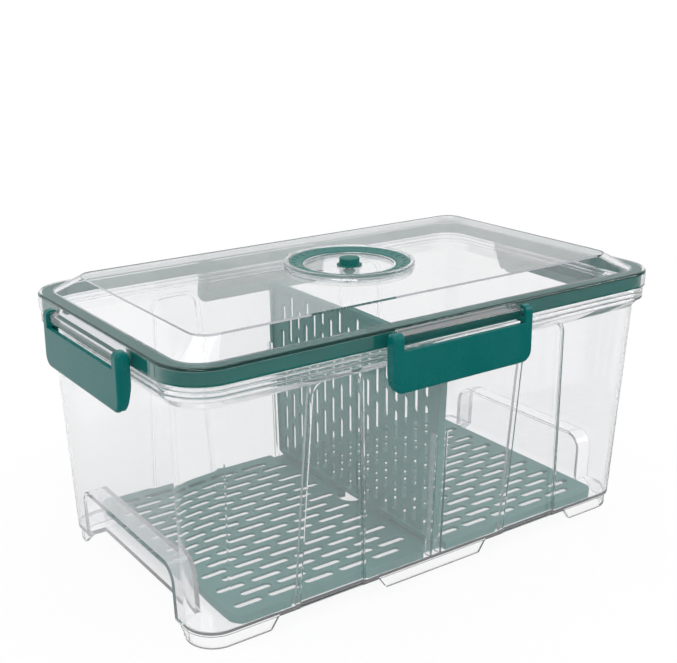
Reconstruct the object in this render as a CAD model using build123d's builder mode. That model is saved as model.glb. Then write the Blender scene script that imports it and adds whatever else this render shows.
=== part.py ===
from build123d import *
import math
import os

# Airtight bread box: a clear tub, a clear lid with a gasket and four latches, a vacuum
# valve with a date dial in the lid, a slotted divider and a folding crumb tray.
# The origin is at the middle of the footprint, on the surface the feet stand on.
# +X runs along the box, the side with the long front latch faces -Y, +Z is up.

# Tub
base_length = 316.0
base_width = 174.0
base_corner = 18.0
rim_length = 328.0
rim_width = 187.0
rim_corner = 20.0
wall = 2.2
floor_thickness = 2.2
tub_height = 144.0
base_edge_radius = 1.0
inner_floor_radius = 1.0

# Rim flange of the tub: stacked beads over a sloped underside
rim_reach = 5.0
bead_height = 2.4
bead_gap = 0.4
bead_count = 3
bead_inset = 1.1
bead_radius = 0.8
rim_slope_height = 4.6

# Feet: a skirt under the floor, cut into corner feet and middle feet
foot_height = 7.8
foot_inset = 1.6
foot_wall = 2.6
foot_slope = 5.5
middle_foot_length = 82.0
corner_foot_length = 49.5
end_foot_slope = 9.0

# Hand holds under both ends
pocket_width = 116.0
pocket_height = 31.2
pocket_depth = 12.0
pocket_corner = 9.0

# Upright flutes in the long walls
flute_offset = 74.8
flute_base_width = 43.0
flute_top_width = 30.5
flute_height = 131.7
flute_depth = 2.0
flute_corner = 8.0

# Ribs that hold the divider
rib_gap = 5.8
rib_thickness = 1.5
rib_depth = 4.5
rib_height = 80.7

# Lid
lid_overhang = 6.0
lid_corner = 26.0
lid_gap = 0.4
lid_skirt_height = 9.5
lid_edge_radius = 1.6
lid_wall = 2.2
plug_clearance = 0.7
plug_wall = 2.0
plug_reach = 5.3
slope_inset = 23.2
slope_height = 8.8
panel_corner = 10.0

# Gasket
gasket_play = 0.2
gasket_groove_width = 2.0
gasket_groove_depth = 2.0

# Latches
latch_width = 99.0
latch_height = 33.3
latch_plate = 2.5
latch_stand_off = 8.8
latch_corner = 7.0
latch_notch_height = 9.7
latch_edge_radius = 2.0
ear_width = 6.0
ear_radius = 3.9
ear_front_radius = 3.6
flange_wall = 2.4
flange_depth = 8.2
flange_foot_depth = 4.2
hinge_out = 4.5
hinge_drop = 5.0
pin_radius = 1.8
pin_length = 4.0
pin_clearance = 0.05
bar_play = 0.5
bar_height = 6.6
bar_reach = 2.9
bar_edge_radius = 1.6
hook_tip = 1.0
hook_rise = 0.6
hook_root = 1.2
hook_drop = 0.8
hook_play = 0.3

# Vacuum valve
cup_radius = 40.0
cup_rise = 1.6
cup_edge_radius = 0.5
cup_seal_thickness = 0.8
seal_margin = 0.2
cup_wall = 1.5
cup_floor = 2.0
cup_depth = 3.9
spigot_radius = 38.7
spigot_length = 8.6
snap_bite = 0.6
snap_height = 1.2
snap_play = 0.2
spigot_play = 0.3
dial_inner_radius = 28.8
dial_play = 0.3
dial_outer_height = 3.25
dial_inner_height = 1.65
dial_seat = 0.2
dial_edge_radius = 0.4
dish_wall = 1.4
dish_wall_height = 1.5
plug_cap_radius = 6.25
plug_cap_height = 3.8
plug_play = 0.3
plug_cap_edge = 0.8
plug_flange_radius = 7.75
plug_flange_height = 1.0
plug_flange_edge = 0.6
stem_radius = 2.4
stem_clearance = 0.1
barb_radius = 3.6
barb_height = 3.0
barb_tip_radius = 1.7
barb_edge = 0.9
valve_travel = 2.0
vent_radius = 1.1
vent_circle = 5.6
vent_count = 6
pointer_length = 4.4
pointer_width = 3.6
pointer_height = 0.5

# Divider
divider_height = 120.7
divider_plate = 2.0
divider_bead = 4.8
divider_bead_width = 3.0
divider_play = 0.7
divider_corner = 8.0
divider_top_corner = 4.0

# Crumb tray in two hinged halves
tray_length = 272.0
tray_plate = 1.5
tray_height = 5.1
tray_skirt = 1.8
tray_corner = 8.0
tray_play = 0.7
rib_notch_ease = 3.4
notch_slope = 2.0
tray_seat = 0.2
seam_play = 0.5
finger_hole_radius = 8.75
knuckle_radius = 1.8
knuckle_width = 12.0
knuckle_offset = 30.6
knuckle_play = 0.3
tray_pin_radius = 0.9
tray_pin_length = 7.0
tray_pin_clearance = 0.05

# Slots of the divider and the tray
divider_slot_width = 4.4
divider_slot = 18.9
divider_slot_pitch = 23.4
divider_column_pitch = 9.3
divider_columns = 17
divider_low_drop = 22.5
divider_high_drop = 34.3
divider_foot_slot = 12.3
divider_foot_drop = 112.6
divider_head_slot = 15.6
divider_head_drop = 12.8
tray_slot_width = 5.0
tray_slot = 19.6
tray_slot_pitch = 23.7
tray_row_pitch = 9.2
tray_rows = 17
tray_low_drop = 17.0
tray_high_drop = 28.3
tray_end_slot = 17.6
tray_end_drop = 122.1
tray_middle_slot = 13.3
tray_middle_drop = 19.5

# Heights and sizes that follow from the ones above
floor_z = foot_height
floor_top = floor_z + floor_thickness
rim_z = floor_z + tub_height
lid_length = rim_length + 2 * lid_overhang
lid_width = rim_width + 2 * lid_overhang
lid_bottom = rim_z + lid_gap
lid_edge = lid_bottom + lid_skirt_height
panel_top = lid_edge + slope_height
plug_inset = lid_overhang + wall + plug_clearance
flange_underside = rim_z - bead_count * (bead_height + bead_gap)
hinge_z = lid_bottom + lid_skirt_height - hinge_drop


def tub_size(height, inset=0.0):
    """Length, width and corner radius of the tub's wall at a height, moved inwards."""
    share = (height - floor_z) / tub_height
    length = base_length + share * (rim_length - base_length) - 2 * inset
    width = base_width + share * (rim_width - base_width) - 2 * inset
    corner = base_corner + share * (rim_corner - base_corner) - inset
    return length, width, corner


def lid_size(inset):
    """Length, width and corner radius of the lid's outline, moved inwards."""
    return lid_length - 2 * inset, lid_width - 2 * inset, max(lid_corner - inset, panel_corner)


def section_plane(angle, reach):
    """Plane across one side of the box: its x points outwards and its y points up."""
    out = Vector(math.cos(math.radians(angle)), math.sin(math.radians(angle)), 0)
    return Plane(origin=out * reach, x_dir=out, z_dir=out.cross(Vector(0, 0, 1)))


sides = {
    "front": (270, lid_width / 2),
    "right": (0, lid_length / 2),
    "back": (90, lid_width / 2),
    "left": (180, lid_length / 2),
}
os.makedirs("parts", exist_ok=True)

# Tub: tapered shell with fluted long walls, hand holds, divider ribs, feet and rim
wall_lean = math.atan2((rim_width - base_width) / 2, tub_height)
end_lean = math.atan2((rim_length - base_length) / 2, tub_height)
long_walls = []
end_walls = []
for turn in (1, -1):
    long_walls.append(
        Plane(
            origin=(0, -turn * base_width / 2, floor_z),
            x_dir=(turn, 0, 0),
            z_dir=(0, -turn * math.cos(wall_lean), -math.sin(wall_lean)),
        )
    )
    end_walls.append(
        Plane(
            origin=(turn * base_length / 2, 0, floor_z),
            x_dir=(0, turn, 0),
            z_dir=(turn * math.cos(end_lean), 0, -math.sin(end_lean)),
        )
    )

with BuildPart() as rim:
    for number in range(bead_count):
        with BuildSketch(Plane.XY.offset(rim_z - number * (bead_height + bead_gap))):
            RectangleRounded(*tub_size(rim_z, -rim_reach))
        extrude(amount=-bead_height)
    fillet(rim.faces().filter_by(Plane.XY).edges(), bead_radius)
    for height, inset in ((flange_underside - rim_slope_height, 0), (flange_underside, bead_inset - rim_reach)):
        with BuildSketch(Plane.XY.offset(height)):
            RectangleRounded(*tub_size(height, inset))
    loft(ruled=True)
    with BuildSketch(Plane.XY.offset(flange_underside)):
        RectangleRounded(*tub_size(flange_underside, bead_inset - rim_reach))
    extrude(amount=rim_z - flange_underside - bead_height / 2)
    for height in (flange_underside - 2 * rim_slope_height, rim_z + rim_slope_height):
        with BuildSketch(Plane.XY.offset(height)):
            RectangleRounded(*tub_size(height, wall / 2))
    loft(ruled=True, mode=Mode.SUBTRACT)

with BuildPart() as tub:
    for height in (floor_z, rim_z):
        with BuildSketch(Plane.XY.offset(height)):
            RectangleRounded(*tub_size(height))
    loft(ruled=True)
    fillet(tub.faces().sort_by(Axis.Z)[0].edges(), base_edge_radius)
    for height in (floor_top, rim_z):
        with BuildSketch(Plane.XY.offset(height)):
            RectangleRounded(*tub_size(height, wall))
    loft(ruled=True, mode=Mode.SUBTRACT)
    fillet(tub.faces().filter_by(Plane.XY).sort_by(Axis.Z)[1].edges(), inner_floor_radius)
    add(rim.part)

    # Each flute is a swelling of the wall inwards, then the groove cut into it from outside
    for wall_plane in long_walls:
        for grow, start, end, mode in (
            (wall, wall / 2, wall + flute_depth, Mode.ADD),
            (0, 0, flute_depth, Mode.SUBTRACT),
        ):
            foot = floor_thickness / 2 if mode == Mode.ADD else 0
            low, high = flute_base_width / 2 + grow, flute_top_width / 2 + grow
            with BuildSketch(wall_plane.offset(-start)):
                for centre in (-flute_offset, flute_offset):
                    with BuildLine():
                        FilletPolyline(
                            (centre - low, foot),
                            (centre - high, flute_height + grow),
                            (centre + high, flute_height + grow),
                            (centre + low, foot),
                            radius=flute_corner + grow,
                        )
                        Line((centre + low, foot), (centre - low, foot))
                    make_face()
            extrude(amount=start - end, mode=mode)
        with BuildSketch(wall_plane.offset(-wall / 2)):
            with Locations((0, (rib_height + floor_thickness) / 2)):
                with GridLocations(rib_gap + rib_thickness, 0, 2, 1):
                    Rectangle(rib_thickness, rib_height - floor_thickness / 2)
        extrude(amount=-(rib_depth + wall / 2))

    # Shells of the hand holds, grown inwards from both end walls
    for wall_plane in end_walls:
        with BuildSketch(wall_plane.offset(-wall / 2)):
            with Locations((0, (pocket_height + wall + floor_thickness / 2) / 2)):
                Rectangle(pocket_width + 2 * wall, pocket_height + wall - floor_thickness / 2)
            fillet(vertices().group_by(Axis.Y)[-1], pocket_corner + wall)
        extrude(amount=-(pocket_depth + wall / 2))

    with BuildSketch(Plane.XY):
        RectangleRounded(*tub_size(floor_z, foot_inset))
        RectangleRounded(*tub_size(floor_z, foot_inset + foot_wall), mode=Mode.SUBTRACT)
    extrude(amount=floor_z + floor_thickness / 2)
    gap_start = middle_foot_length / 2
    gap_end = base_length / 2 - corner_foot_length
    with BuildSketch(Plane.XZ):
        for side in (-1, 1):
            with BuildLine():
                Polyline(
                    (side * (gap_start - foot_slope), 0),
                    (side * gap_start, floor_z),
                    (side * gap_end, floor_z),
                    (side * (gap_end + foot_slope), 0),
                    close=True,
                )
            make_face()
    extrude(amount=base_width, both=True, mode=Mode.SUBTRACT)
    with BuildSketch(Plane.YZ):
        with BuildLine():
            Polyline(
                (-pocket_width / 2 - end_foot_slope, 0),
                (-pocket_width / 2, floor_z),
                (pocket_width / 2, floor_z),
                (pocket_width / 2 + end_foot_slope, 0),
                close=True,
            )
        make_face()
    extrude(amount=base_length, both=True, mode=Mode.SUBTRACT)
    for wall_plane in end_walls:
        with BuildSketch(wall_plane.offset(-pocket_depth)):
            with Locations((0, (pocket_height - 2 * foot_height) / 2)):
                Rectangle(pocket_width, pocket_height + 2 * foot_height)
            fillet(vertices().group_by(Axis.Y)[-1], pocket_corner)
        extrude(amount=2 * pocket_depth, mode=Mode.SUBTRACT)
tub.part.label = "tub"
export_step(tub.part, "parts/tub.step")

# Lid: skirt, plug wall that centres it in the tub, sloping top and flat panel
with BuildPart() as lid:
    with BuildSketch(Plane.XY.offset(lid_bottom)):
        RectangleRounded(*lid_size(0))
    extrude(amount=lid_skirt_height)
    fillet(lid.faces().sort_by(Axis.Z)[-1].edges(), lid_edge_radius)
    with BuildSketch(Plane.XY.offset(rim_z - plug_reach)):
        RectangleRounded(*lid_size(plug_inset))
    extrude(amount=lid_edge - rim_z + plug_reach)
    for height, inset in ((lid_edge, plug_inset), (panel_top, slope_inset)):
        with BuildSketch(Plane.XY.offset(height)):
            RectangleRounded(*lid_size(inset))
    loft(ruled=True)

    # Hollow under the top, and the channel that holds the gasket
    with BuildSketch(Plane.XY.offset(rim_z - plug_reach)):
        RectangleRounded(*lid_size(plug_inset + plug_wall))
    extrude(amount=lid_edge - lid_wall - rim_z + plug_reach, mode=Mode.SUBTRACT)
    slope_angle = math.atan2(slope_height, slope_inset - plug_inset)
    inner_crease = slope_inset + lid_wall * math.tan(slope_angle / 2)
    for height, inset in ((lid_edge - lid_wall, plug_inset + plug_wall), (panel_top - lid_wall, inner_crease)):
        with BuildSketch(Plane.XY.offset(height)):
            RectangleRounded(*lid_size(inset))
    loft(ruled=True, mode=Mode.SUBTRACT)
    with BuildSketch(Plane.XY.offset(lid_bottom)):
        RectangleRounded(*lid_size(lid_wall))
        RectangleRounded(*lid_size(plug_inset), mode=Mode.SUBTRACT)
    extrude(amount=lid_skirt_height - lid_wall, mode=Mode.SUBTRACT)
    with BuildSketch(Plane.XY.offset(panel_top)):
        Circle(spigot_radius + spigot_play)
    extrude(amount=-2 * lid_wall, mode=Mode.SUBTRACT)

    # A hinge bar on each side, with a stub pin at both ends
    for angle, reach in sides.values():
        bar_half = latch_width / 2 - ear_width - bar_play
        with BuildSketch(section_plane(angle, reach)):
            with BuildLine():
                FilletPolyline(
                    (-lid_wall / 2, hinge_z - bar_height / 2),
                    (hinge_out + bar_reach, hinge_z - bar_height / 2),
                    (hinge_out + bar_reach, hinge_z + bar_height / 3),
                    (-lid_wall / 2, lid_edge - lid_edge_radius / 2),
                    radius=bar_edge_radius,
                )
                Line(
                    (-lid_wall / 2, lid_edge - lid_edge_radius / 2),
                    (-lid_wall / 2, hinge_z - bar_height / 2),
                )
            make_face()
        extrude(amount=bar_half, both=True)
        with BuildSketch(section_plane(angle, reach)):
            with Locations((hinge_out, hinge_z)):
                Circle(pin_radius)
        extrude(amount=bar_half + bar_play + pin_length, both=True)
lid.part.label = "lid"
export_step(lid.part, "parts/lid.step")

# Gasket: a soft ring with two lips that press on the rim's top face
with BuildPart() as lid_gasket:
    gasket_outside = lid_wall + gasket_play
    gasket_inside = plug_inset - gasket_play
    gasket_middle = (gasket_outside + gasket_inside) / 2
    with BuildSketch(Plane.XY.offset(rim_z + gasket_play)):
        RectangleRounded(*lid_size(gasket_outside))
        RectangleRounded(*lid_size(gasket_inside), mode=Mode.SUBTRACT)
    extrude(amount=lid_edge - lid_wall - rim_z - gasket_play)
    with BuildSketch(Plane.XY.offset(rim_z + gasket_play)):
        RectangleRounded(*lid_size(gasket_middle - gasket_groove_width / 2))
        RectangleRounded(*lid_size(gasket_middle + gasket_groove_width / 2), mode=Mode.SUBTRACT)
    extrude(amount=gasket_groove_depth, mode=Mode.SUBTRACT)
lid_gasket.part.label = "lid_gasket"
export_step(lid_gasket.part, "parts/lid_gasket.step")

# Latches: a plate with two ears on the lid's stub pins, side flanges and a hook
bead_underside = flange_underside + bead_gap
latch_top = hinge_z + ear_radius
latch_foot = latch_top - latch_height
plate_back = latch_stand_off - latch_plate
for side, (angle, reach) in sides.items():
    across = section_plane(angle, reach)
    outwards = Axis((0, 0, 0), across.x_dir)
    with BuildPart() as latch:
        with BuildSketch(across):
            with BuildLine():
                Polyline(
                    (latch_stand_off, latch_foot),
                    (latch_stand_off - flange_foot_depth, latch_foot),
                    (latch_stand_off - flange_depth, flange_underside),
                    (latch_stand_off - flange_depth, latch_top),
                    (latch_stand_off, latch_top),
                    close=True,
                )
            make_face()
            top_corners = vertices().group_by(Axis.Y)[-1].sort_by(Axis.X)
            fillet(top_corners[0], ear_radius)
            fillet(vertices().group_by(Axis.X)[-1].sort_by(Axis.Y)[-1], ear_front_radius)
        extrude(amount=latch_width / 2, both=True)
        fillet(latch.edges().filter_by(outwards).group_by(Axis.Z)[0], latch_corner)
        front_edges = latch.faces().filter_by(outwards).sort_by(outwards)[-1].edges()
        fillet(front_edges.sort_by(Axis.Z)[:-1], latch_edge_radius)
        # Hollow back between the side flanges, then the notch that clears the hinge bar
        with BuildSketch(across):
            with Locations((plate_back - flange_depth, latch_top - latch_notch_height - latch_height)):
                Rectangle(2 * flange_depth, 2 * latch_height)
        extrude(amount=latch_width / 2 - flange_wall, both=True, mode=Mode.SUBTRACT)
        with BuildSketch(across):
            with Locations((0, latch_top)):
                Rectangle(3 * latch_stand_off, 2 * latch_notch_height)
        extrude(amount=latch_width / 2 - ear_width, both=True, mode=Mode.SUBTRACT)
        # Hook that snaps under the lowest bead of the rim
        with BuildSketch(across):
            with BuildLine():
                Polyline(
                    (plate_back + latch_plate / 2, bead_underside + hook_rise),
                    (rim_reach - lid_overhang + hook_play, bead_underside - hook_drop),
                    (rim_reach - lid_overhang + hook_play, bead_underside - hook_drop - hook_tip),
                    (plate_back + latch_plate / 2, bead_underside - hook_drop - hook_tip - hook_root),
                    close=True,
                )
            make_face()
        extrude(amount=latch_width / 2 - ear_width, both=True)
        # Blind bores for the stub pins
        for end in (-1, 1):
            with BuildSketch(across.offset(end * (latch_width / 2 - ear_width))):
                with Locations((hinge_out, hinge_z)):
                    Circle(pin_radius + pin_clearance)
            extrude(amount=end * (pin_length + bar_play), mode=Mode.SUBTRACT)
    latch.part.label = f"latch_{side}"
    export_step(latch.part, f"parts/latch_{side}.step")

# Valve cup: a clear dish with a channel for the dial and a spigot that snaps into the lid
cup_top = panel_top + cup_seal_thickness + cup_rise
dish_top = cup_top - cup_depth
dish_radius = dial_inner_radius - dial_play - dish_wall
channel_radius = spigot_radius - cup_wall
snap_top = panel_top - lid_wall - snap_play
with BuildPart() as valve_cup:
    with BuildSketch(Plane.XZ):
        with BuildLine():
            Polyline(
                (stem_radius + stem_clearance, dish_top - cup_floor),
                (channel_radius, dish_top - cup_floor),
                (channel_radius, cup_top - spigot_length),
                (spigot_radius, cup_top - spigot_length),
                (spigot_radius, snap_top - snap_height),
                (spigot_radius + snap_bite, snap_top),
                (spigot_radius, snap_top),
                (spigot_radius, cup_top - cup_rise),
                (cup_radius, cup_top - cup_rise),
                (cup_radius, cup_top),
                (channel_radius, cup_top),
                (channel_radius, dish_top),
                (dish_radius + dish_wall, dish_top),
                (dish_radius + dish_wall, dish_top + dish_wall_height),
                (dish_radius, dish_top + dish_wall_height),
                (dish_radius, dish_top),
                (stem_radius + stem_clearance, dish_top),
                close=True,
            )
        make_face()
    revolve(axis=Axis.Z)
    rim_edges = valve_cup.faces().filter_by(Plane.XY).group_by(Axis.Z)[-1].edges()
    fillet(rim_edges, cup_edge_radius)
    with BuildSketch(Plane.XY.offset(dish_top)):
        with PolarLocations(vent_circle, vent_count):
            Circle(vent_radius)
    extrude(amount=-cup_floor, mode=Mode.SUBTRACT)
    # Raised pointer that the dial is read against
    with BuildSketch(Plane.XY.offset(dish_top)):
        with BuildLine():
            Polyline(
                (-dish_radius + pointer_length / 2, 0),
                (-dish_radius + pointer_length * 1.5, pointer_width / 2),
                (-dish_radius + pointer_length * 1.5, -pointer_width / 2),
                close=True,
            )
        make_face()
    extrude(amount=pointer_height)
valve_cup.part.label = "valve_cup"
export_step(valve_cup.part, "parts/valve_cup.step")

# Cup seal: a flat soft ring pressed between the cup and the lid
with BuildPart() as cup_seal:
    with BuildSketch(Plane.XY.offset(panel_top)):
        Circle(cup_radius - seal_margin)
        Circle(spigot_radius + spigot_play, mode=Mode.SUBTRACT)
    extrude(amount=cup_seal_thickness)
cup_seal.part.label = "cup_seal"
export_step(cup_seal.part, "parts/cup_seal.step")

# Date dial: a plain ring that turns in the cup's channel, its top sloping to the middle
with BuildPart() as date_dial:
    dial_foot = dish_top + dial_seat
    with BuildSketch(Plane.XZ):
        with BuildLine():
            Polyline(
                (dial_inner_radius, dial_foot),
                (channel_radius - dial_play, dial_foot),
                (channel_radius - dial_play, dial_foot + dial_outer_height),
                (dial_inner_radius, dial_foot + dial_inner_height),
                close=True,
            )
        make_face()
        fillet(vertices().sort_by(Axis.Y)[-2:], dial_edge_radius)
    revolve(axis=Axis.Z)
date_dial.part.label = "date_dial"
export_step(date_dial.part, "parts/date_dial.step")

# Valve plug: cap, sealing flange over the vents, stem and the barb that holds it in
with BuildPart() as valve_plug:
    plug_seat = dish_top + plug_play
    barb_top = dish_top - cup_floor - valve_travel - plug_play
    with BuildSketch(Plane.XZ):
        with BuildLine():
            Polyline(
                (0, barb_top - barb_height),
                (barb_tip_radius, barb_top - barb_height),
                (barb_radius, barb_top - barb_edge),
                (barb_radius, barb_top),
                (stem_radius, barb_top),
                (stem_radius, plug_seat),
                (plug_flange_radius, plug_seat),
                (plug_flange_radius, plug_seat + plug_flange_edge),
                (plug_cap_radius, plug_seat + plug_flange_height),
                (plug_cap_radius, plug_seat + plug_flange_height + plug_cap_height),
                (0, plug_seat + plug_flange_height + plug_cap_height),
                close=True,
            )
        make_face()
    revolve(axis=Axis.Z)
    fillet(valve_plug.faces().sort_by(Axis.Z)[-1].edges(), plug_cap_edge)
valve_plug.part.label = "valve_plug"
export_step(valve_plug.part, "parts/valve_plug.step")

# Divider: a slotted panel with a bead round its edge, standing between the ribs
tray_top = floor_top + tray_seat + tray_height
divider_foot = tray_top + knuckle_radius + tray_seat
divider_head = divider_foot + divider_height


def divider_half(height):
    """Half the divider's width at a height, clear of the tub's inner wall."""
    return tub_size(height, wall)[1] / 2 - divider_play


with BuildPart() as divider:
    for thickness, inset, mode in (
        (divider_bead, 0, Mode.ADD),
        (divider_bead, divider_bead_width, Mode.SUBTRACT),
        (divider_plate, divider_bead_width / 2, Mode.ADD),
    ):
        low, high = divider_half(divider_foot) - inset, divider_half(divider_head) - inset
        with BuildSketch(Plane.YZ):
            with BuildLine():
                Polyline(
                    (-low, divider_foot + inset),
                    (low, divider_foot + inset),
                    (high, divider_head - inset),
                    (-high, divider_head - inset),
                    close=True,
                )
            make_face()
            fillet(vertices().group_by(Axis.Y)[0], divider_corner - inset)
            fillet(vertices().group_by(Axis.Y)[-1], divider_top_corner - inset / 2)
            if thickness == divider_plate:
                # Columns take turns to end in a short slot at the foot and to start with one
                for short_slot, short_drop, first_drop, columns in (
                    (divider_foot_slot, divider_foot_drop, divider_low_drop, divider_columns),
                    (divider_head_slot, divider_head_drop, divider_high_drop, divider_columns - 1),
                ):
                    pitch = 2 * divider_column_pitch
                    rows_middle = divider_head - first_drop - 1.5 * divider_slot_pitch
                    with Locations((0, rows_middle)):
                        with GridLocations(pitch, divider_slot_pitch, (columns + 1) // 2, 4):
                            SlotOverall(divider_slot, divider_slot_width, rotation=90, mode=Mode.SUBTRACT)
                    with Locations((0, divider_head - short_drop)):
                        with GridLocations(pitch, 0, (columns + 1) // 2, 1):
                            SlotOverall(short_slot, divider_slot_width, rotation=90, mode=Mode.SUBTRACT)
        extrude(amount=thickness / 2, both=True, mode=mode)
divider.part.label = "divider"
export_step(divider.part, "parts/divider.step")


def tray_skirt_edge(side, gap):
    """Outline of one tray half: notched at the flutes and at the ribs, flat at the seam."""
    half_width = tub_size(floor_top + tray_seat, wall)[1] / 2 - gap
    flute_start = flute_offset - flute_base_width / 2 - wall - gap
    flute_end = flute_offset + flute_base_width / 2 + wall + gap
    flute_face = half_width - flute_depth
    rib_half = rib_gap / 2 + rib_thickness + rib_notch_ease + gap
    rib_face = half_width - rib_depth
    end = tray_length / 2 - gap + tray_play
    seam = seam_play / 2 + gap - tray_play
    points = [(seam, rib_face), (rib_half, rib_face), (rib_half, half_width)]
    points += [(flute_start - notch_slope, half_width), (flute_start, flute_face)]
    points += [(flute_end, flute_face), (flute_end + notch_slope, half_width), (end, half_width)]
    mirrored = [(x, -y) for x, y in reversed(points)]
    return [(side * x, y) for x, y in points + mirrored]


# Crumb tray: two slotted halves that fold up along the middle of the box
for name, side in (("tray_left", -1), ("tray_right", 1)):
    with BuildPart() as tray:
        with BuildSketch(Plane.XY.offset(tray_top)):
            with BuildLine():
                Polyline(*tray_skirt_edge(side, tray_play), close=True)
            make_face()
            fillet(vertices().group_by(Axis.X)[-1 if side > 0 else 0], tray_corner)
        extrude(amount=-tray_height)
        with BuildSketch(Plane.XY.offset(tray_top - tray_plate)):
            with BuildLine():
                Polyline(*tray_skirt_edge(side, tray_play + tray_skirt), close=True)
            make_face()
            fillet(vertices().group_by(Axis.X)[-1 if side > 0 else 0], tray_corner - tray_skirt)
        extrude(amount=tray_plate - tray_height, mode=Mode.SUBTRACT)
        # Rows take turns to start near the fold and to end in a short slot
        near_rows, far_rows = (tray_rows + side) // 2, (tray_rows - side) // 2
        with BuildSketch(Plane.XY.offset(tray_top)):
            for first, rows in ((tray_low_drop + tray_slot_pitch, near_rows), (tray_high_drop, far_rows)):
                with Locations((side * (first + 1.5 * tray_slot_pitch), 0)):
                    with GridLocations(tray_slot_pitch, 2 * tray_row_pitch, 4, rows):
                        SlotOverall(tray_slot, tray_slot_width)
            with Locations((side * tray_end_drop, 0)):
                with GridLocations(0, 2 * tray_row_pitch, 1, far_rows):
                    SlotOverall(tray_end_slot, tray_slot_width)
            # First slots of the near rows, all but the one that meets the finger hole
            side_rows = near_rows // 2
            middle = (near_rows % 2 + side_rows) * tray_row_pitch
            with Locations((side * tray_low_drop, middle), (side * tray_low_drop, -middle)):
                with GridLocations(0, 2 * tray_row_pitch, 1, side_rows):
                    SlotOverall(tray_slot, tray_slot_width)
            if near_rows % 2:
                with Locations((side * tray_middle_drop, 0)):
                    SlotOverall(tray_middle_slot, tray_slot_width)
        extrude(amount=-tray_plate, mode=Mode.SUBTRACT)
        with BuildSketch(Plane.XY.offset(tray_top)):
            Circle(finger_hole_radius)
        extrude(amount=-tray_height, mode=Mode.SUBTRACT)
        # Knuckles on this half, and room for the knuckles of the other half
        for end in (-1, 1):
            own = knuckle_offset + side * (knuckle_width + tray_play) / 2
            other = knuckle_offset - side * (knuckle_width + tray_play) / 2
            with Locations((0, end * other, tray_top)):
                Box(
                    2 * (knuckle_radius + knuckle_play),
                    knuckle_width + 2 * tray_play,
                    2 * (knuckle_radius + knuckle_play),
                    mode=Mode.SUBTRACT,
                )
            with BuildSketch(Plane.XZ.offset(-end * own)):
                with Locations((0, tray_top)):
                    Circle(knuckle_radius)
                with Locations((side * knuckle_radius, tray_top - tray_plate / 2)):
                    Rectangle(2 * knuckle_radius, tray_plate)
            extrude(amount=knuckle_width / 2, both=True)
            with BuildSketch(Plane.XZ.offset(-end * (knuckle_offset + tray_play * side / 2))):
                with Locations((0, tray_top)):
                    Circle(tray_pin_radius + (tray_pin_clearance if side < 0 else 0))
            if side > 0:
                extrude(amount=end * (tray_pin_length + tray_play))
            else:
                extrude(amount=end * (tray_pin_length + tray_play), mode=Mode.SUBTRACT)
    tray.part.label = name
    export_step(tray.part, f"parts/{name}.step")
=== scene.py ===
import bpy
import math
from mathutils import Matrix, Vector


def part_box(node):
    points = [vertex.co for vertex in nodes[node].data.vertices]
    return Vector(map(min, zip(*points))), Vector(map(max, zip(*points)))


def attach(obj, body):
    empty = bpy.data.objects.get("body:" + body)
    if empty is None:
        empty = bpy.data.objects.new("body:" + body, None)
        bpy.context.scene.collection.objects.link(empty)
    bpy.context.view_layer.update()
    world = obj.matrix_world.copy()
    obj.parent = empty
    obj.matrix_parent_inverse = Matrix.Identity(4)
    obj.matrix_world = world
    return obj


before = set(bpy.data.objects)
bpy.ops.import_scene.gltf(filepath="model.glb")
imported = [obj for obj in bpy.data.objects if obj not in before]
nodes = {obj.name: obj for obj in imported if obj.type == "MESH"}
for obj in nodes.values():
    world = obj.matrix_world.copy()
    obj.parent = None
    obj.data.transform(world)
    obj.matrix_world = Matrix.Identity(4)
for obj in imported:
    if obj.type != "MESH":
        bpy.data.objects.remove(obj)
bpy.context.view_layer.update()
print("frame loaded,", len(nodes), "nodes")

# the two inputs to mix and the output of a Mix node, for each kind of value
mixSockets = {"FLOAT": (2, 3, 0), "VECTOR": (4, 5, 1), "RGBA": (6, 7, 2)}


def addNode(tree, kind, inputs=None, **settings):
    node = tree.nodes.new(kind)
    for name, value in settings.items():
        setattr(node, name, value)
    for name, value in (inputs or {}).items():
        node.inputs[name].default_value = value
    return node


def feed(tree, socket, value):
    # value is the socket of another node, a plain number or a plain colour
    if isinstance(value, bpy.types.NodeSocket):
        tree.links.new(value, socket)
    elif isinstance(value, tuple):
        socket.default_value = (*value, 1)
    elif value is not None:
        socket.default_value = value


def addMath(tree, operation, first, second=None, clamp=False):
    node = addNode(tree, "ShaderNodeMath", operation=operation, use_clamp=clamp)
    feed(tree, node.inputs[0], first)
    feed(tree, node.inputs[1], second)
    return node.outputs[0]


def addRamp(tree, value, low, high, toLow=0.0, toHigh=1.0):
    # values from low to high become toLow to toHigh, with soft ends
    limits = {"From Min": low, "From Max": high, "To Min": toLow, "To Max": toHigh}
    node = addNode(tree, "ShaderNodeMapRange", limits, interpolation_type="SMOOTHSTEP")
    tree.links.new(value, node.inputs["Value"])
    return node.outputs["Result"]


def addMix(tree, kind, factor, first, second):
    node = addNode(tree, "ShaderNodeMix", data_type=kind, clamp_factor=True)
    firstInput, secondInput, result = mixSockets[kind]
    feed(tree, node.inputs[0], factor)
    feed(tree, node.inputs[firstInput], first)
    feed(tree, node.inputs[secondInput], second)
    return node.outputs[result]


def addShaderMix(tree, factor, first, second):
    node = tree.nodes.new("ShaderNodeMixShader")
    for index, socket in enumerate((factor, first, second)):
        tree.links.new(socket, node.inputs[index])
    return node.outputs[0]


def addNoise(tree, place, scale, detail, roughness, distortion=0.0):
    settings = {"Detail": detail, "Roughness": roughness, "Distortion": distortion}
    noise = addNode(tree, "ShaderNodeTexNoise", settings)
    tree.links.new(place, noise.inputs["Vector"])
    feed(tree, noise.inputs["Scale"], scale)
    return noise.outputs["Fac"]


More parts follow.
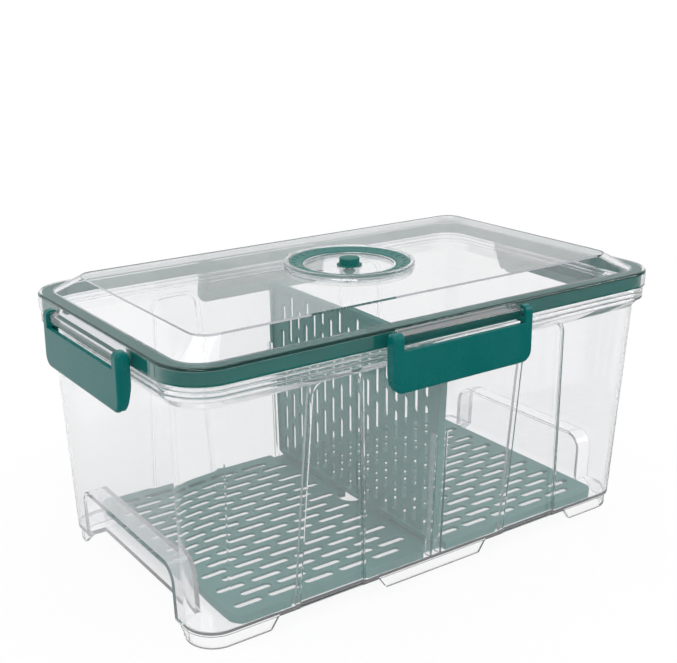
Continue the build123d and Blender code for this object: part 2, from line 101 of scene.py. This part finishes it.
def newGroup(name, inputs, outputs):
    group = bpy.data.node_groups.new(name, "ShaderNodeTree")
    for label, value in inputs.items():
        socket = group.interface.new_socket(label, in_out="INPUT", socket_type="NodeSocketFloat")
        socket.default_value = value
    for label, kind in outputs.items():
        group.interface.new_socket(label, in_out="OUTPUT", socket_type=kind)
    return group, group.nodes.new("NodeGroupInput"), group.nodes.new("NodeGroupOutput")


# Rounded edges: a normal that turns softly round every edge, and a mask that is 1 on the edge itself
edgeFeel = {"samples": 4, "maskStart": 0.01, "maskFull": 0.25}


def makeSoftEdges(feel):
    group, given, made = newGroup(
        "softEdges", {"Edge Radius": 0.0005}, {"Normal": "NodeSocketVector", "Edge": "NodeSocketFloat"}
    )
    links = group.links
    rounded = addNode(group, "ShaderNodeBevel", samples=feel["samples"])
    links.new(given.outputs["Edge Radius"], rounded.inputs["Radius"])
    flat = addNode(group, "ShaderNodeNewGeometry")
    alike = addNode(group, "ShaderNodeVectorMath", operation="DOT_PRODUCT")
    links.new(rounded.outputs["Normal"], alike.inputs[0])
    links.new(flat.outputs["Normal"], alike.inputs[1])
    turned = addMath(group, "SUBTRACT", 1.0, addMath(group, "ABSOLUTE", alike.outputs["Value"]))
    links.new(addRamp(group, turned, feel["maskStart"], feel["maskFull"]), made.inputs["Edge"])
    links.new(rounded.outputs["Normal"], made.inputs["Normal"])
    return group


def bumpOverEdges(group, given, made, softEdges, depth, height):
    # a fine bump laid over the rounded edges, with the mask of the edges passed on
    links = group.links
    edges = addNode(group, "ShaderNodeGroup", node_tree=softEdges)
    links.new(given.outputs["Edge Radius"], edges.inputs["Edge Radius"])
    bump = addNode(group, "ShaderNodeBump", {"Strength": 1.0})
    links.new(given.outputs[depth], bump.inputs["Distance"])
    links.new(height, bump.inputs["Height"])
    links.new(edges.outputs["Normal"], bump.inputs["Normal"])
    links.new(bump.outputs["Normal"], made.inputs["Normal"])
    links.new(edges.outputs["Edge"], made.inputs["Edge"])


# Skin of moulded plastic and rubber: fine grain from the mould, clouds of slightly different
# colour and polish
skinFeel = {
    "grainDetail": 2.0, "cloudDetail": 3.0, "noiseRoughness": 0.55, "cloudStart": 0.3, "cloudFull": 0.7,
    "grainInPolish": 0.5, "polishStart": 0.5, "polishFull": 1.0,
}


def makeMouldedSkin(softEdges, feel):
    group, given, made = newGroup(
        "mouldedSkin",
        {"Grain Size": 0.0005, "Grain Height": 0.00001, "Cloud Size": 0.03, "Edge Radius": 0.0005},
        {"Normal": "NodeSocketVector", "Edge": "NodeSocketFloat", "Cloud": "NodeSocketFloat",
         "Polish": "NodeSocketFloat"},
    )
    place = addNode(group, "ShaderNodeTexCoord").outputs["Object"]
    grainScale = addMath(group, "DIVIDE", 1.0, given.outputs["Grain Size"])
    grain = addNoise(group, place, grainScale, feel["grainDetail"], feel["noiseRoughness"])
    cloudScale = addMath(group, "DIVIDE", 1.0, given.outputs["Cloud Size"])
    cloud = addNoise(group, place, cloudScale, feel["cloudDetail"], feel["noiseRoughness"])
    bumpOverEdges(group, given, made, softEdges, "Grain Height", grain)
    group.links.new(addRamp(group, cloud, feel["cloudStart"], feel["cloudFull"]), made.inputs["Cloud"])
    mixed = addMath(group, "ADD", cloud, addMath(group, "MULTIPLY", grain, feel["grainInPolish"]))
    group.links.new(addRamp(group, mixed, feel["polishStart"], feel["polishFull"]), made.inputs["Polish"])
    return group


# Clear moulded walls: long shallow waves from the flow of the plastic, which bend what is seen
# through them, and faint smears in the polish
flowFeel = {
    "waveDetail": 1.0, "waveRoughness": 0.4, "waveDistortion": 0.3, "smearScale": 22.0, "smearDetail": 4.0,
    "smearRoughness": 0.6, "smearStart": 0.45, "smearFull": 0.75,
}


def makeFlowWaves(softEdges, feel):
    group, given, made = newGroup(
        "flowWaves",
        {"Wave Size": 0.01, "Wave Height": 0.00002, "Stretch": 0.4, "Edge Radius": 0.0005},
        {"Normal": "NodeSocketVector", "Edge": "NodeSocketFloat", "Smear": "NodeSocketFloat"},
    )
    links = group.links
    place = addNode(group, "ShaderNodeTexCoord").outputs["Object"]
    stretch = addNode(group, "ShaderNodeCombineXYZ", {"X": 1.0, "Y": 1.0})
    links.new(given.outputs["Stretch"], stretch.inputs["Z"])
    stretched = addNode(group, "ShaderNodeVectorMath", operation="MULTIPLY")
    links.new(place, stretched.inputs[0])
    links.new(stretch.outputs[0], stretched.inputs[1])
    waveScale = addMath(group, "DIVIDE", 1.0, given.outputs["Wave Size"])
    waves = addNoise(group, stretched.outputs[0], waveScale, feel["waveDetail"], feel["waveRoughness"],
                     feel["waveDistortion"])
    bumpOverEdges(group, given, made, softEdges, "Wave Height", waves)
    smear = addNoise(group, stretched.outputs[0], feel["smearScale"], feel["smearDetail"],
                     feel["smearRoughness"])
    links.new(addRamp(group, smear, feel["smearStart"], feel["smearFull"]), made.inputs["Smear"])
    return group


softEdges = makeSoftEdges(edgeFeel)
mouldedSkin = makeMouldedSkin(softEdges, skinFeel)
flowWaves = makeFlowWaves(softEdges, flowFeel)
print("shader groups made")


def newMaterial(name):
    material = bpy.data.materials.new(name)
    material.use_nodes = True
    tree = material.node_tree
    tree.nodes.clear()
    return material, tree, tree.nodes.new("ShaderNodeOutputMaterial")


def placeGroup(tree, group, values):
    return addNode(tree, "ShaderNodeGroup", values, node_tree=group)


wallTurns = 1.5  # light mirrored more often than this inside a clear wall is let out


def addBaseShade(tree, colour, look):
    # painted shade: a dark band is painted along the tub's bottom edge for the dark of the table, but not
    # on its flat underside or the hand holds
    spot = addNode(tree, "ShaderNodeSeparateXYZ")
    tree.links.new(addNode(tree, "ShaderNodeTexCoord").outputs["Object"], spot.inputs[0])
    low, high, soft = look["baseShadeLow"], look["baseShadeHigh"], look["baseShadeSoft"]
    above = addRamp(tree, spot.outputs["Z"], low, low + soft)
    below = addRamp(tree, spot.outputs["Z"], high, high + soft, 1.0, 0.0)
    side = addRamp(tree, addMath(tree, "ABSOLUTE", spot.outputs["Y"]), *look["baseShadeAside"])
    baseShade = addMath(tree, "MULTIPLY", addMath(tree, "MULTIPLY", above, below), side)
    return addMix(tree, "RGBA", baseShade, colour, look["baseShadeColour"])


# Clear plastic refracts for the eye, but lets light and shadow rays straight through to what
# stands inside
def makeClear(name, look):
    material, tree, output = newMaterial(name)
    links = tree.links
    skin = placeGroup(tree, flowWaves, {
        "Wave Size": look["waveSize"], "Wave Height": look["waveHeight"], "Stretch": look["stretch"],
        "Edge Radius": look["edgeRadius"],
    })
    glass = addNode(tree, "ShaderNodeBsdfPrincipled", {
        "Transmission Weight": look["clearness"], "IOR": look["ior"],
        "Specular IOR Level": look["specular"],
    })
    # painted shade: the colour turns towards the darker edge grey where the wall is seen at a grazing
    # angle, for the grey rims of clear plastic
    facing = addNode(tree, "ShaderNodeLayerWeight")
    links.new(skin.outputs["Normal"], facing.inputs["Normal"])
    grazingShade = addMath(tree, "POWER", facing.outputs["Facing"], look["edgePower"])
    colour = addMix(tree, "RGBA", grazingShade, look["body"], look["edge"])
    if "baseShadeColour" in look:
        colour = addBaseShade(tree, colour, look)
    links.new(colour, glass.inputs["Base Color"])
    roughness = addRamp(tree, skin.outputs["Smear"], 0.0, 1.0, *look["roughness"])
    links.new(roughness, glass.inputs["Roughness"])
    # light leaves the wall by its plain face: a turned normal there would trap it and blacken creases
    face = addNode(tree, "ShaderNodeNewGeometry")
    turned, plain = skin.outputs["Normal"], face.outputs["Normal"]
    links.new(addMix(tree, "VECTOR", face.outputs["Backfacing"], turned, plain), glass.inputs["Normal"])
    path = addNode(tree, "ShaderNodeLightPath")
    opened = addMath(tree, "MAXIMUM", path.outputs["Is Shadow Ray"], path.outputs["Is Diffuse Ray"])
    caught = addMath(tree, "GREATER_THAN", path.outputs["Glossy Depth"], wallTurns)
    # painted shade: on a moulded edge part of the light is let straight through, tinted grey, which paints
    # a soft grey stripe there
    shadeLine = addMath(tree, "MULTIPLY", skin.outputs["Edge"], look["shadeLineShare"])
    through = tree.nodes.new("ShaderNodeBsdfTransparent")
    passed = addMix(tree, "RGBA", opened, look["shadeLineColour"], look["lightThrough"])
    links.new(passed, through.inputs["Color"])
    share = addMath(tree, "MAXIMUM", addMath(tree, "MAXIMUM", opened, caught), shadeLine)
    links.new(addShaderMix(tree, share, glass.outputs[0], through.outputs[0]), output.inputs["Surface"])
    return material


def makeMoulded(name, look):
    material, tree, output = newMaterial(name)
    links = tree.links
    skin = placeGroup(tree, mouldedSkin, {
        "Grain Size": look["grainSize"], "Grain Height": look["grainHeight"],
        "Cloud Size": look["cloudSize"], "Edge Radius": look["edgeRadius"],
    })
    shader = addNode(tree, "ShaderNodeBsdfPrincipled", {"Specular IOR Level": look["specular"]})
    clouded = addMix(tree, "RGBA", skin.outputs["Cloud"], look["colour"], look["cloudColour"])
    # painted highlight: the rounded edges are painted a lighter green, standing in for the light they
    # catch
    edge = addMath(tree, "MULTIPLY", skin.outputs["Edge"], look["edgeHighlightShare"])
    links.new(addMix(tree, "RGBA", edge, clouded, look["edgeHighlightColour"]), shader.inputs["Base Color"])
    roughness = addRamp(tree, skin.outputs["Polish"], 0.0, 1.0, *look["roughness"])
    links.new(roughness, shader.inputs["Roughness"])
    links.new(skin.outputs["Normal"], shader.inputs["Normal"])
    links.new(shader.outputs[0], output.inputs["Surface"])
    return material


baseLine = 0.0078  # height of the tub's bottom edge above the table, as part.py has it
# in the clear looks, edge is the painted shade colour at grazing angles
tubLook = {
    "body": (0.988, 0.988, 0.994), "edge": (0.92, 0.93, 0.94), "edgePower": 5.0, "clearness": 0.93,
    "ior": 1.49, "specular": 0.4, "roughness": (0.0, 0.02), "waveSize": 0.018, "waveHeight": 0.00001,
    "stretch": 0.35, "edgeRadius": 0.0006, "shadeLineShare": 0.65, "shadeLineColour": (0.9, 0.91, 0.92),
    "lightThrough": (0.97, 0.97, 0.975), "baseShadeColour": (0.07, 0.09, 0.09), "baseShadeLow": baseLine + 0.00004,
    "baseShadeHigh": baseLine + 0.0008, "baseShadeSoft": 0.0002, "baseShadeAside": (0.062, 0.066),
}
lidLook = {
    "body": (0.985, 0.986, 0.99), "edge": (0.86, 0.88, 0.89), "edgePower": 6.0, "clearness": 0.995,
    "ior": 1.49, "specular": 0.3, "roughness": (0.0, 0.02), "waveSize": 0.02, "waveHeight": 0.000008,
    "stretch": 1.0, "edgeRadius": 0.00035, "shadeLineShare": 0.8, "shadeLineColour": (0.84, 0.86, 0.87),
    "lightThrough": (0.97, 0.97, 0.975),
}
cupLook = {
    "body": (0.97, 0.973, 0.98), "edge": (0.72, 0.74, 0.76), "edgePower": 4.0, "clearness": 0.9,
    "ior": 1.49, "specular": 0.5, "roughness": (0.0, 0.04), "waveSize": 0.006, "waveHeight": 0.00001,
    "stretch": 1.0, "edgeRadius": 0.0005, "shadeLineShare": 0.3, "shadeLineColour": (0.9, 0.91, 0.92),
    "lightThrough": (0.97, 0.97, 0.975),
}
sealLook = {
    "body": (0.93, 0.95, 0.95), "edge": (0.7, 0.75, 0.75), "edgePower": 2.0, "clearness": 0.7,
    "ior": 1.41, "specular": 0.4, "roughness": (0.25, 0.4), "waveSize": 0.004, "waveHeight": 0.00001,
    "stretch": 1.0, "edgeRadius": 0.0002, "shadeLineShare": 0.0, "shadeLineColour": (0.9, 0.91, 0.92),
    "lightThrough": (0.9, 0.92, 0.92),
}
latchLook = {
    "colour": (0.0, 0.122, 0.114), "cloudColour": (0.0, 0.134, 0.126), "edgeHighlightColour": (0.02, 0.21, 0.195),
    "edgeHighlightShare": 0.6, "roughness": (0.22, 0.32), "specular": 0.25, "grainSize": 0.0006,
    "grainHeight": 0.000006, "cloudSize": 0.03, "edgeRadius": 0.0006,
}
trayLook = {
    "colour": (0.044, 0.18, 0.165), "cloudColour": (0.055, 0.205, 0.19), "edgeHighlightColour": (0.085, 0.26, 0.24),
    "edgeHighlightShare": 0.7, "roughness": (0.38, 0.5), "specular": 0.4, "grainSize": 0.0007,
    "grainHeight": 0.000012, "cloudSize": 0.025, "edgeRadius": 0.0005,
}
dialLook = {
    "colour": (0.006, 0.125, 0.11), "cloudColour": (0.012, 0.155, 0.138), "edgeHighlightColour": (0.05, 0.25, 0.22),
    "edgeHighlightShare": 0.6, "roughness": (0.3, 0.42), "specular": 0.4, "grainSize": 0.0005,
    "grainHeight": 0.000008, "cloudSize": 0.006, "edgeRadius": 0.0004,
}
plugLook = {
    "colour": (0.0, 0.12, 0.1), "cloudColour": (0.0, 0.14, 0.12), "edgeHighlightColour": (0.03, 0.22, 0.19),
    "edgeHighlightShare": 0.5, "roughness": (0.4, 0.55), "specular": 0.3, "grainSize": 0.0004,
    "grainHeight": 0.00001, "cloudSize": 0.004, "edgeRadius": 0.0004,
}
gasketLook = {
    "colour": (0.0, 0.1, 0.086), "cloudColour": (0.0, 0.118, 0.102), "edgeHighlightColour": (0.01, 0.16, 0.14),
    "edgeHighlightShare": 0.4, "roughness": (0.45, 0.6), "specular": 0.0, "grainSize": 0.0005,
    "grainHeight": 0.00001, "cloudSize": 0.02, "edgeRadius": 0.0005,
}

tubClear = makeClear("tubClear", tubLook)
lidClear = makeClear("lidClear", lidLook)
cupClear = makeClear("cupClear", cupLook)
sealClear = makeClear("sealClear", sealLook)
latchGreen = makeMoulded("latchGreen", latchLook)
trayGreen = makeMoulded("trayGreen", trayLook)
dialGreen = makeMoulded("dialGreen", dialLook)
plugGreen = makeMoulded("plugGreen", plugLook)
gasketGreen = makeMoulded("gasketGreen", gasketLook)

finishes = {
    "tub": tubClear, "lid": lidClear, "valve_cup": cupClear, "cup_seal": sealClear,
    "lid_gasket": gasketGreen, "date_dial": dialGreen, "valve_plug": plugGreen,
    "divider": trayGreen, "tray_left": trayGreen, "tray_right": trayGreen,
    "latch_front": latchGreen, "latch_right": latchGreen, "latch_back": latchGreen,
    "latch_left": latchGreen,
}
for name, material in finishes.items():
    nodes[name].data.materials.clear()
    nodes[name].data.materials.append(material)
print("materials on the moulded pieces")

# Day marks on the date dial: one fine raised bar for each of 31 days, every fifth one longer.
# innerHeight, rise and ringWidth are the height, rise and width of the dial's sloping top
dialMarks = {
    "count": 31, "every": 5, "length": 0.0026, "longLength": 0.0042, "width": 0.0006, "height": 0.00022,
    "sunk": 0.00006, "outerGap": 0.0014, "ringWidth": 0.0081, "innerHeight": 0.00165, "rise": 0.0016,
    "barLength": 0.001, "endSteps": 4, "weld": 0.000001,
}


def makeMarkTree(sizes):
    tree = bpy.data.node_groups.new("dayMarks", "GeometryNodeTree")
    tree.interface.new_socket("Geometry", in_out="INPUT", socket_type="NodeSocketGeometry")
    for label in ("Count", "Every"):
        tree.interface.new_socket(label, in_out="INPUT", socket_type="NodeSocketInt")
    for label in ("Length", "Long Length", "Width", "Height", "Outer Radius", "Outer Height", "Slope"):
        tree.interface.new_socket(label, in_out="INPUT", socket_type="NodeSocketFloat")
    tree.interface.new_socket("Finish", in_out="INPUT", socket_type="NodeSocketMaterial")
    tree.interface.new_socket("Geometry", in_out="OUTPUT", socket_type="NodeSocketGeometry")
    links = tree.links
    given, made = tree.nodes.new("NodeGroupInput"), tree.nodes.new("NodeGroupOutput")
    value = given.outputs

    # angle of each mark from its number, and its length: long where the number divides evenly
    number = addNode(tree, "GeometryNodeInputIndex").outputs[0]
    angle = addMath(tree, "MULTIPLY", addMath(tree, "DIVIDE", number, value["Count"]), math.tau)
    remainder = addMath(tree, "MODULO", number, value["Every"])
    isLong = addMath(tree, "LESS_THAN", remainder, 0.5)
    extra = addMath(tree, "SUBTRACT", value["Long Length"], value["Length"])
    length = addMath(tree, "ADD", value["Length"], addMath(tree, "MULTIPLY", extra, isLong))

    # middle of each mark, on the dial's slope
    middle = addMath(tree, "MULTIPLY", length, 0.5)
    inwards = addMath(tree, "MULTIPLY", middle, addMath(tree, "COSINE", value["Slope"]))
    radius = addMath(tree, "SUBTRACT", value["Outer Radius"], inwards)
    drop = addMath(tree, "MULTIPLY", middle, addMath(tree, "SINE", value["Slope"]))
    position = addNode(tree, "ShaderNodeCombineXYZ")
    links.new(addMath(tree, "MULTIPLY", radius, addMath(tree, "COSINE", angle)), position.inputs["X"])
    links.new(addMath(tree, "MULTIPLY", radius, addMath(tree, "SINE", angle)), position.inputs["Y"])
    links.new(addMath(tree, "SUBTRACT", value["Outer Height"], drop), position.inputs["Z"])
    points = addNode(tree, "GeometryNodePoints")
    links.new(value["Count"], points.inputs["Count"])
    links.new(position.outputs[0], points.inputs["Position"])

    # one bar of barLength with round ends, raised from its own outline
    outline = addNode(tree, "GeometryNodeCurvePrimitiveQuadrilateral", {"Width": sizes["barLength"]})
    links.new(value["Width"], outline.inputs["Height"])
    ends = addNode(tree, "GeometryNodeFilletCurve", {"Limit Radius": True}, mode="POLY")
    ends.inputs["Count"].default_value = sizes["endSteps"]
    links.new(outline.outputs[0], ends.inputs[0])
    links.new(addMath(tree, "MULTIPLY", value["Width"], 0.5), ends.inputs["Radius"])
    face = addNode(tree, "GeometryNodeFillCurve", mode="NGONS")
    links.new(ends.outputs[0], face.inputs[0])
    raised = addNode(tree, "GeometryNodeExtrudeMesh")
    links.new(face.outputs[0], raised.inputs["Mesh"])
    links.new(value["Height"], raised.inputs["Offset Scale"])
    bottom = addNode(tree, "GeometryNodeFlipFaces")
    links.new(face.outputs[0], bottom.inputs["Mesh"])
    solid = addNode(tree, "GeometryNodeJoinGeometry")
    links.new(raised.outputs["Mesh"], solid.inputs[0])
    links.new(bottom.outputs["Mesh"], solid.inputs[0])
    closed = addNode(tree, "GeometryNodeMergeByDistance", {"Distance": sizes["weld"]})
    links.new(solid.outputs[0], closed.inputs["Geometry"])

    # a bar on every point, laid along the slope and drawn out to its length
    turn = addNode(tree, "ShaderNodeCombineXYZ")
    links.new(addMath(tree, "MULTIPLY", value["Slope"], -1.0), turn.inputs["Y"])
    links.new(angle, turn.inputs["Z"])
    grow = addNode(tree, "ShaderNodeCombineXYZ", {"Y": 1.0, "Z": 1.0})
    links.new(addMath(tree, "MULTIPLY", length, 1.0 / sizes["barLength"]), grow.inputs["X"])
    marks = addNode(tree, "GeometryNodeInstanceOnPoints")
    links.new(points.outputs[0], marks.inputs["Points"])
    links.new(closed.outputs[0], marks.inputs["Instance"])
    links.new(turn.outputs[0], marks.inputs["Rotation"])
    links.new(grow.outputs[0], marks.inputs["Scale"])
    real = addNode(tree, "GeometryNodeRealizeInstances")
    links.new(marks.outputs[0], real.inputs[0])
    coloured = addNode(tree, "GeometryNodeSetMaterial")
    links.new(real.outputs[0], coloured.inputs["Geometry"])
    links.new(value["Finish"], coloured.inputs["Material"])
    links.new(coloured.outputs[0], made.inputs[0])
    return tree


def makeDialMarks(sizes):
    tree = makeMarkTree(sizes)
    dialLow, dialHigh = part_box("date_dial")
    slope = sizes["rise"] / sizes["ringWidth"]
    edgeHeight = dialLow.z + sizes["innerHeight"] + sizes["rise"] - sizes["outerGap"] * slope
    values = {
        "Count": sizes["count"], "Every": sizes["every"], "Length": sizes["length"],
        "Long Length": sizes["longLength"], "Width": sizes["width"],
        "Height": sizes["height"] + sizes["sunk"], "Outer Radius": dialHigh.x - sizes["outerGap"],
        "Outer Height": edgeHeight - sizes["sunk"], "Slope": math.atan(slope), "Finish": dialGreen,
    }
    holder = bpy.data.objects.new("markHolder", bpy.data.meshes.new("markHolder"))
    bpy.context.scene.collection.objects.link(holder)
    modifier = holder.modifiers.new("dayMarks", "NODES")
    modifier.node_group = tree
    for socket in tree.interface.items_tree:
        if socket.in_out == "INPUT" and socket.name in values:
            modifier[socket.identifier] = values[socket.name]
    evaluated = holder.evaluated_get(bpy.context.evaluated_depsgraph_get())
    mesh = bpy.data.meshes.new_from_object(evaluated)
    holder.modifiers.remove(modifier)
    bpy.data.objects.remove(holder)
    marks = bpy.data.objects.new("dial_marks", mesh)
    bpy.context.scene.collection.objects.link(marks)
    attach(marks, "date_dial")
    return marks


marks = makeDialMarks(dialMarks)
print("day marks on the dial,", len(marks.data.polygons), "faces")

# Studio: white sweep for the eye, plain soft light for the object.
# skyMirror and floorMirror are their strengths in reflections, from the front to the back
studio = {
    "skyLight": 0.62, "skyMirror": (0.3, 0.85), "skyMirrorReach": (-0.4, 0.5),
    "ceiling": 0.35, "ceilingStart": 0.6, "ceilingEnd": 0.85,
    "floorHalf": 4.0, "floorColour": (0.93, 0.93, 0.935), "floorRoughness": 0.9,
    "floorMirror": (0.03, 1.0), "floorMirrorReach": (-0.15, 0.35),
    "shadowShare": 0.12, "fadeStart": 0.18, "fadeEnd": 0.36,
}
lamps = {
    "keyLamp": {"place": (-0.9, -0.9, 1.3), "aim": (0, 0, 0.08), "size": (0.9, 0.9), "power": 9.0},
    "fillLamp": {"place": (1.2, -0.8, 0.9), "aim": (0, 0, 0.08), "size": (0.3, 1.0), "power": 5.0},
    "topLamp": {"place": (0.1, 0.4, 1.6), "aim": (0, 0, 0.1), "size": (1.2, 0.8), "power": 6.0},
}


def rayKinds(tree):
    # 1 for rays straight to the eye, for rays through clear walls, and for rays off a polished surface
    path = addNode(tree, "ShaderNodeLightPath")
    through = path.outputs["Is Transmission Ray"]
    mirrored = addMath(tree, "SUBTRACT", path.outputs["Is Glossy Ray"], through, clamp=True)
    return path.outputs["Is Camera Ray"], through, mirrored


def makeFloor(values):
    half = values["floorHalf"]
    corners = [(-half, -half, 0), (half, -half, 0), (half, half, 0), (-half, half, 0)]
    mesh = bpy.data.meshes.new("floor")
    mesh.from_pydata(corners, [], [(0, 1, 2, 3)])
    floor = bpy.data.objects.new("floor", mesh)
    bpy.context.scene.collection.objects.link(floor)
    material, tree, output = newMaterial("floorPaper")
    links = tree.links
    paper = addNode(tree, "ShaderNodeBsdfPrincipled", {
        "Base Color": (*values["floorColour"], 1), "Roughness": values["floorRoughness"],
        "Specular IOR Level": 0.0,
    })
    straight, through, mirrored = rayKinds(tree)
    white = tree.nodes.new("ShaderNodeEmission")
    place = addNode(tree, "ShaderNodeTexCoord").outputs["Object"]
    distance = addNode(tree, "ShaderNodeVectorMath", operation="LENGTH")
    links.new(place, distance.inputs[0])
    # in reflections the floor in front of the object is dark and the floor behind it white
    spot = addNode(tree, "ShaderNodeSeparateXYZ")
    links.new(place, spot.inputs[0])
    dark = addRamp(tree, spot.outputs["Y"], *values["floorMirrorReach"], *values["floorMirror"])
    links.new(addMix(tree, "FLOAT", mirrored, 1.0, dark), white.inputs["Strength"])
    # the object's shadow shows round its feet and fades into the white
    fade = addRamp(tree, distance.outputs["Value"], values["fadeStart"], values["fadeEnd"],
                   1.0 - values["shadowShare"], 1.0)
    lit = addMath(tree, "MAXIMUM", addMath(tree, "MULTIPLY", fade, straight), through)
    share = addMath(tree, "MAXIMUM", lit, mirrored)
    links.new(addShaderMix(tree, share, paper.outputs[0], white.outputs[0]), output.inputs["Surface"])
    mesh.materials.append(material)


def makeSky(values):
    world = bpy.data.worlds.new("studioSky")
    bpy.context.scene.world = world
    world.use_nodes = True
    tree = world.node_tree
    tree.nodes.clear()
    output = tree.nodes.new("ShaderNodeOutputWorld")
    background = addNode(tree, "ShaderNodeBackground", {"Color": (1, 1, 1, 1)})
    # white behind the object, dimmer in its reflections and overhead, which clear edges show as grey lines
    direction = addNode(tree, "ShaderNodeSeparateXYZ")
    tree.links.new(addNode(tree, "ShaderNodeTexCoord").outputs["Generated"], direction.inputs[0])
    height, depth = direction.outputs["Z"], direction.outputs["Y"]
    seen = addRamp(tree, height, values["ceilingStart"], values["ceilingEnd"], 1.0, values["ceiling"])
    straight, through, mirrored = rayKinds(tree)
    reflected = addRamp(tree, depth, *values["skyMirrorReach"], *values["skyMirror"])
    soft = addMix(tree, "FLOAT", mirrored, values["skyLight"], reflected)
    level = addMix(tree, "FLOAT", addMath(tree, "MAXIMUM", straight, through), soft, seen)
    tree.links.new(level, background.inputs["Strength"])
    tree.links.new(background.outputs[0], output.inputs["Surface"])


def areaLamp(name, values):
    light = bpy.data.lights.new(name, "AREA")
    light.shape = "RECTANGLE"
    light.size, light.size_y = values["size"]
    light.energy = values["power"]
    lamp = bpy.data.objects.new(name, light)
    lamp.location = values["place"]
    sight = Vector(values["aim"]) - Vector(values["place"])
    lamp.rotation_euler = sight.to_track_quat("-Z", "Y").to_euler()
    bpy.context.scene.collection.objects.link(lamp)


makeFloor(studio)
makeSky(studio)
for name, values in lamps.items():
    areaLamp(name, values)
print("studio lit")

# The camera looks at the box as in the photograph, with a small shift for the photograph's framing
cameraView = {
    "azimuth": -33.643, "elevation": 16.786, "roll": -0.753, "distance": 0.777523, "lens": 59.081,
    "sensorWidth": 36, "aim": (0.023522, 0.0855, 0.110316), "shiftX": 0.05, "shiftY": -0.02,
    "clipStart": 0.01,
}


def placeCamera(view):
    azimuth, elevation, roll = (math.radians(view[key]) for key in ("azimuth", "elevation", "roll"))
    level = math.cos(elevation)
    back = Vector((math.sin(azimuth) * level, -math.cos(azimuth) * level, math.sin(elevation)))
    right = Vector((math.cos(azimuth), math.sin(azimuth), 0))
    up = back.cross(right)
    turned = right * math.cos(roll) + up * math.sin(roll)
    raised = up * math.cos(roll) - right * math.sin(roll)
    camera = bpy.data.objects.new("camera", bpy.data.cameras.new("camera"))
    bpy.context.scene.collection.objects.link(camera)
    turn = Matrix((turned, raised, back)).transposed().to_4x4()
    camera.matrix_world = Matrix.Translation(Vector(view["aim"]) + back * view["distance"]) @ turn
    camera.data.sensor_fit = "HORIZONTAL"
    camera.data.sensor_width = view["sensorWidth"]
    camera.data.lens = view["lens"]
    camera.data.shift_x = view["shiftX"]
    camera.data.shift_y = view["shiftY"]
    camera.data.clip_start = view["clipStart"]
    bpy.context.scene.camera = camera


placeCamera(cameraView)
bpy.context.scene.view_settings.view_transform = "Standard"
print("camera placed")
